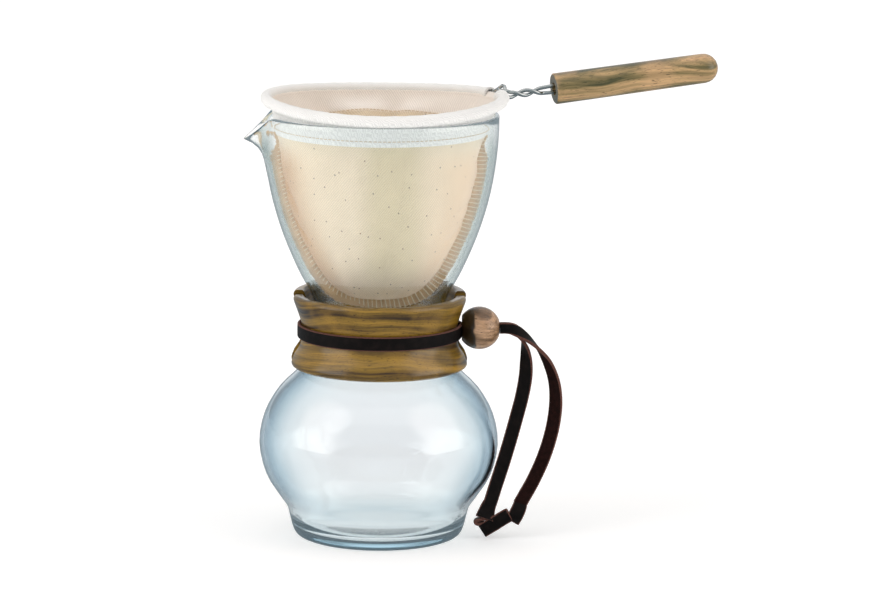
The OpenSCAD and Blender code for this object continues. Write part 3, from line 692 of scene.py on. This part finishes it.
# Stations down the bag, as in the CAD model. Each gives the height, the middle in x, the half width, the half
# depth, and how pointed the bag is at its seams.
BAG = np.array([
    [205.4, 1.4, 52.4, 52.4, 1], [200.6, 0.9, 50.6, 51.2, 1], [194, 0.2, 48.6, 49.2, 1.05],
    [184, -0.5, 45.4, 45.6, 1.1], [172, -0.5, 43.8, 41, 1.15], [158, -0.5, 40.8, 35.4, 1.2],
    [146, -0.5, 36.4, 29.5, 1.25], [134, -0.5, 30.8, 23, 1.3], [124.5, -0.5, 24.8, 16.5, 1.3],
    [118.6, -0.5, 18, 9, 1.3], [116.2, -0.5, 10.6, 3.5, 1.2], [115.6, -0.5, 3.6, 1.4, 1]])
BAG_LAST = len(BAG) - 1
BAG_FINE = 50
BAG_CURVE = smooth(BAG, BAG_FINE)
CLOTH_T = 0.95
# Where the panels end inside the hem and where the hem's stitches run, in stations down.
PANEL_TOP, STITCH_ROW = -1.0, 1.8


def bag_at(u):
    """The bag's station values at u stations down."""
    return BAG_CURVE[min(int(round(u * BAG_FINE)), len(BAG_CURVE) - 1)]


def outward_at(a):
    """The level direction away from the middle, at the angle a."""
    return np.array([math.cos(a), math.sin(a), 0.0])


def bag_point(u, a, out=0.0):
    """A point of the bag's outside, u stations down and at the angle a round it, moved outward by out.

    The first two stations follow the hoop's sag and tilt.
    """
    z, middle, half_width, half_depth, power = bag_at(u)
    near_top = max(0.0, 1 - u / 2)
    lift = near_top * (HOOP_TILT * math.sin(a) - HOOP_SAG * math.sin(a)**2 + 1.2)
    y = (half_depth + out) * abs(math.sin(a))**power
    return np.array([middle + (half_width + out) * math.cos(a), math.copysign(max(y, 0.06), math.sin(a)),
                     z + lift - 0.35 * out * (1 - near_top)])


def ease(value, low, high):
    """From 0 to 1 as value goes from low to high, level at both ends."""
    t = min(1.0, max(0.0, (value - low) / (high - low)))
    return t * t * (3 - 2 * t)


def bag_fold(u, a):
    """How far the cloth swells out, or in where negative, before it settles. The back has deeper folds."""
    across = math.cos(a)
    reach = math.sin(a)**2 * ease(u, 1.7, 4.0) * ease(BAG_LAST - u, 0.0, 3.0)
    if math.sin(a) < 0:
        swell = 0.7 * math.sin(8 * across + 0.7 * u) + 0.35 * math.sin(17 * across - 0.5 * u + 1)
        valley = -1.5 * math.exp(-((across - 0.18) / 0.13)**2)
        return reach * (swell + valley)
    near_hem = math.sin(a)**2 * ease(u, 0.3, 1.6) * ease(BAG_LAST - u, 0.0, 4.0)
    arch = 6.0 * math.exp(-((across + 0.30 - 0.05 * u) / 0.20)**2)
    arch += 3.5 * math.exp(-((across - 0.28) / 0.10)**2)
    ripple = 0.8 * math.sin(9 * across + 0.6) + 0.5 * math.sin(17 * across - 0.8 * u)
    return near_hem * (ripple - 1.4 - arch * ease(u, 0.6, 2.2))


def hoop_point(a):
    """The middle of the hoop's wire, at the angle a."""
    return np.array([HOOP_X + HOOP_R * math.cos(a), HOOP_R * math.sin(a),
                     HOOP_Z - HOOP_SAG * math.sin(a)**2 + HOOP_TILT * math.sin(a)])


def settle(piece, shape, limit):
    """Lets the cloth hang by simulation. No point moves further than limit, in metres.

    The cloth is held at its seams, at its bottom and in the rows near the hem.
    """
    frames, hem_share = 24, 0.31
    rows, columns = shape
    start = np.array([v.co for v in piece.data.vertices])
    row, column = np.divmod(np.arange(rows * columns), columns)
    held = (row < hem_share * rows) | (row == rows - 1) | (column == 0) | (column == columns - 1)
    edge = piece.vertex_groups.new(name="Sewn")
    edge.add(np.flatnonzero(held).tolist(), 1.0, "REPLACE")
    cloth = piece.modifiers.new("Cloth", "CLOTH")
    settings = cloth.settings
    settings.quality = 6
    settings.mass = 0.02
    settings.tension_stiffness = 12
    settings.compression_stiffness = 12
    settings.shear_stiffness = 4
    settings.bending_stiffness = 0.02
    settings.vertex_group_mass = edge.name
    settings.shrink_min = -0.025
    cloth.point_cache.frame_start = 1
    cloth.point_cache.frame_end = frames
    scene = bpy.context.scene
    for step in range(1, frames + 1):
        scene.frame_set(step)
    graph = bpy.context.evaluated_depsgraph_get()
    hung = np.array([v.co for v in piece.evaluated_get(graph).data.vertices])
    piece.modifiers.remove(cloth)
    piece.vertex_groups.remove(edge)
    scene.frame_set(1)
    move = hung - start
    size = np.linalg.norm(move, axis=1)
    move *= (limit * np.tanh(size / limit) / np.maximum(size, 1e-12))[:, None]
    piece.data.vertices.foreach_set("co", (start + move).astype(np.float32).ravel())
    piece.data.update()


def panel_point(u, a):
    """A point of a panel's outside. Above the bag, where u is negative, it follows the inside of the hem."""
    if u >= 0:
        return bag_point(u, a, bag_fold(u, a))
    turn = math.radians(210 + 95 * u)
    reach = 1.85 + 1.55 * (1 - ease(-u, 0, 0.4)) - 0.6 * ease(-u, 0.4, 1)
    return hoop_point(a) + reach * (math.cos(turn) * outward_at(a) + math.sin(turn) * UP)


def panel_tones(piece, shape, first_angle):
    """Paints shade into the cloth's colour.

    Painted shade makes it tan in the hollow beside the left seam, rosy beside the right one, and olive in a
    band down the middle of the front. It is also rosier towards the bottom, and white inside the hem.
    """
    rows, columns = shape
    front = first_angle > 0
    # tan, olive and the rosy beside the right seam are painted shade; hem_white is the hem's whiter cloth.
    tan, rosy = np.array([0.66, 0.47, 0.31]), np.array([0.99, 0.88, 0.79])
    olive, hem_white = np.array([0.87, 0.88, 0.79]), np.array([1.05, 1.13, 1.36])
    tones = []
    for u in np.linspace(PANEL_TOP, BAG_LAST, rows):
        half_width = bag_at(max(u, 0))[2]
        low = ease(u, 2.2, 3.6)
        olive_shade_rows = ease(u, 1.8, 2.4) * ease(9.5 - u, 0, 3) if front else 0.0
        for a in np.linspace(first_angle, first_angle + math.pi, columns):
            x = half_width * math.cos(a)
            tone = np.ones(3)
            for colour, share in ((tan, low * math.exp(-((half_width + x) / 9.0)**2)),
                                  (rosy, low * math.exp(-((half_width - x) / 16.0)**2)),
                                  (olive, olive_shade_rows * math.exp(-((x - 6) / 13.0)**4)),
                                  (rosy, 0.8 * ease(u, 7, 10)),
                                  (hem_white, 1 - ease(u, 1.6, 2.0))):
                tone = tone + (colour - tone) * share
            tones.append((*tone, 1.0))
    attribute = piece.data.color_attributes.new("tone", "FLOAT_COLOR", "POINT")
    attribute.data.foreach_set("color", np.array(tones, np.float32).ravel())


def add_panel(name, node, first_angle):
    """Half of the bag, from one seam to the other, hung by simulation and then given its thickness."""
    rows, columns = 109, 121
    seam_gap = 0.0009
    farthest_move = 1.4 * MM
    angles = np.linspace(first_angle + seam_gap, first_angle + math.pi - seam_gap, columns)
    grid = np.array([[panel_point(u, a) for a in angles] for u in np.linspace(PANEL_TOP, BAG_LAST, rows)])
    panel = add_piece(name, [grid], "filter", [flannel], wrap=False)
    settle(panel, (rows, columns), farthest_move)
    panel_tones(panel, (rows, columns), first_angle)
    solid = panel.modifiers.new("Thickness", "SOLIDIFY")
    solid.thickness = CLOTH_T * MM
    solid.offset = -1.0
    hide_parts(node)
    return panel


def hem_profile(a, roll):
    """Middle of the hem's cloth at the angle a: up the bag's outside, and over the wire to its inside."""
    centre = hoop_point(a)
    points = [bag_point(u, a, 0.65) for u in np.linspace(2.15, 0.55, 9)]
    for turn in np.radians(np.linspace(-118, 205, 19)):
        points.append(centre + roll * (math.cos(turn) * outward_at(a) + math.sin(turn) * UP))
    return np.array(points)


def add_hem():
    """The hem, from its pinked cut end at the handle round the hoop to the other end behind the latch."""
    front_end, back_end = math.radians(7), math.radians(25)
    roll, widening, flare = 2.2, 1.1, math.radians(9)
    teeth, half = 0.55, 0.45
    angles = np.linspace(front_end, back_end - 2 * math.pi, 241)
    rings = []
    for n, a in enumerate(angles):
        to_front, to_back = abs(a - front_end), abs(a - angles[-1])
        opening = (1 - ease(to_front, 0, flare)) + 0.5 * (1 - ease(to_back, 0, 0.6 * flare))
        pucker = 0.07 * math.sin(41 * a) + 0.05 * math.sin(97 * a + 1)
        points = hem_profile(a, roll + widening * opening + pucker)
        travel = np.gradient(points, axis=0)
        travel /= np.linalg.norm(travel, axis=1)[:, None]
        tangent = np.cross(outward_at(a), UP)
        normal = np.cross(tangent, travel)
        if n in (0, len(angles) - 1):
            sign = 1 if n == 0 else -1
            points = points - sign * teeth * tangent * (np.arange(len(points)) % 2)[:, None]
        rings.append(np.vstack([points + half * normal, (points - half * normal)[::-1]]))
    hem = add_piece("filter_hem", [np.array(rings)], "filter", [flannel_hem])
    sharpen(hem, HEM_SHARP)
    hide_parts("filter_hem_sleeve")
    return hem


def stitch(start, end, lift, radius):
    """One stitch: a short thread that rises from one hole and dips into the next."""
    middle = (start + end) / 2
    path = [start - 0.3 * lift, start + 0.6 * lift, middle + lift, end + 0.6 * lift, end - 0.3 * lift]
    reach = radius * np.array([0.7, 1, 1.05, 1, 0.7])
    side = np.cross(unit(end - start), unit(lift))
    return tube(smooth(path, 2), side, smooth(reach[:, None], 2)[:, 0], 6)


def add_hem_stitches():
    """Machine stitches round the hem, on its outside and on the inside of the bag."""
    pitch, ring_radius, seen_share = 2.1, 49.0, 0.6
    step = pitch / ring_radius
    first, last = math.radians(8), math.radians(352)
    grids = []
    for out, lift, radius, inside in ((1.12, 0.18, 0.16, False), (-CLOTH_T - 0.30, -0.25, 0.24, True)):
        a = first
        while a < last:
            ends = [bag_point(STITCH_ROW, b, out + (bag_fold(STITCH_ROW, b) if inside else 0.0))
                    for b in (a, a + seen_share * step)]
            grids.append(stitch(*ends, lift * outward_at(a), radius))
            a += step
    stitches = add_piece("hem_stitches", grids, "filter", [hem_thread])
    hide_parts("hem_thread")
    return stitches


# The seam allowance's width, its width at the top, its thickness and the station that it starts from.
SEAM_W, SEAM_TOP_W, SEAM_T, SEAM_TOP = 5.8, 2.2, 1.5, 2.15
# The distance from one point of the seam to the next.
SEAM_STEP = 0.7


def seam_line():
    """The seam in the XZ plane, from high on the left, under the bag and up to the right."""
    downs = np.linspace(SEAM_TOP, BAG_LAST - 0.5, 110)
    left = [(bag_at(u)[1] - bag_at(u)[2], bag_at(u)[0]) for u in downs]
    right = [(bag_at(u)[1] + bag_at(u)[2], bag_at(u)[0]) for u in downs[::-1]]
    line = np.array(left + [(BAG[-1][1], BAG[-1][0] - 0.2)] + right)
    distance = np.concatenate([[0], np.cumsum(np.linalg.norm(np.diff(line, axis=0), axis=1))])
    even = np.arange(0, distance[-1], SEAM_STEP)
    return np.column_stack([np.interp(even, distance, line[:, 0]), np.interp(even, distance, line[:, 1])])


def seam_frames():
    """Points of the seam, its direction away from the bag, and the allowance's width at each point."""
    line = seam_line()
    travel = along(line)
    away = np.column_stack([travel[:, 1], -travel[:, 0]])
    narrow_from, narrow_at = 181, 189
    widths = [SEAM_W + (SEAM_TOP_W - SEAM_W) * ease(z, narrow_from, narrow_at) for x, z in line]
    return line, away, np.array(widths)


def in_room(flat, y):
    """A point of the XZ plane, at the depth y."""
    return np.array([flat[0], y, flat[1]])


def seam_wave(i):
    """How far the seam allowance stands to the front or the back at its i-th point."""
    return 0.35 * math.sin(0.31 * i) + 0.2 * math.sin(0.83 * i + 2)


def add_seam_band():
    """The seam allowance: two layers of cloth whose cut edges are a little uneven."""
    line, away, widths = seam_frames()
    front_half = [(0.0, -0.5), (0.12, -1), (0.5, -1.06), (0.88, -1), (1.0, -0.55)]
    outline = front_half + [(1.03, 0)] + [(share, -y) for share, y in reversed(front_half)]
    rings = []
    for i, (point, out, width) in enumerate(zip(line, away, widths)):
        ragged = 0.25 * math.sin(2.1 * i) + 0.2 * rng.uniform(-1, 1)
        thick = SEAM_T / 2 * (0.9 + 0.1 * math.sin(0.9 * i))
        wave = seam_wave(i)
        section = []
        for share, y in outline:
            reach = 0.1 + share * (width + ragged * ease(share, 0.6, 1.0))
            section.append(in_room(point + reach * out, y * thick + wave * share))
        rings.append(section)
    band = add_piece("seam_allowance", [np.array(rings)], "filter", [flannel_edge])
    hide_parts("filter_seam_band")
    return band


def add_seam_fringe():
    """Loose fibres along the cut edge of the seam allowance, longest on the spout's side."""
    line, away, widths = seam_frames()
    left_before = -4
    grids = []
    for i in range(2, len(line) - 2):
        left = line[i][0] < left_before
        out, along_seam = away[i], np.array([-away[i][1], away[i][0]])
        for n in range(7 if left else 4):
            root = line[i] + (widths[i] + rng.uniform(-0.9, 0.1)) * out + rng.uniform(-0.4, 0.4) * along_seam
            length = rng.uniform(0.4, 1.1) * (1.0 if left else 0.7)
            lean = rng.uniform(-0.8, 0.8)
            y = seam_wave(i) + rng.uniform(-0.7, 0.7)
            tip = root + 0.6 * length * out + lean * length * along_seam
            middle = (root + tip) / 2 + 0.15 * length * along_seam
            path = [in_room(root, y), in_room(middle, y + rng.uniform(-0.3, 0.3)), in_room(tip, 1.4 * y)]
            grids.append(tube(path, (0, 1, 0.01), (0.07, 0.055, 0.02), 4))
    return add_piece("seam_fringe", grids, "filter", [flannel_edge])


def add_overlock():
    """Overlock thread. Once every pitch it goes over the allowance, round its cut edge and back behind it."""
    line, away, widths = seam_frames()
    pitch, points_per_turn, radius = 2.0, 12, 0.27
    step = pitch / SEAM_STEP / points_per_turn
    path = []
    for n in range(int((len(line) - 3) / step)):
        place = 1 + n * step
        i = int(place)
        share = place - i
        point = line[i] * (1 - share) + line[i + 1] * share
        turn = 2 * math.pi * n / points_per_turn
        left = 1 - ease(point[0], -14, -2)
        width = widths[i] * (0.98 - 0.45 * left)
        across = 0.5 - 0.54 * math.cos(turn)
        depth = (SEAM_T / 2 + radius * 0.7) * math.copysign(abs(math.sin(turn))**0.4, math.sin(turn))
        path.append(in_room(point + (0.1 + across * width) * away[i], -depth + seam_wave(place) * across))
    thread_path = smooth(path, 2)
    piece = add_piece("overlock_stitches", [tube(thread_path, (0.3, 1, 0.2), radius, 6)], "filter",
                      [overlock_thread])
    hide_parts("overlock_thread")
    return piece


front_panel = add_panel("cloth_front", "filter_front_panel", math.pi)
back_panel = add_panel("cloth_back", "filter_back_panel", 0.0)
hem = add_hem()
hem_stitches = add_hem_stitches()
seam_band = add_seam_band()
seam_fringe = add_seam_fringe()
overlock = add_overlock()

bpy.context.scene.view_settings.view_transform = "Standard"
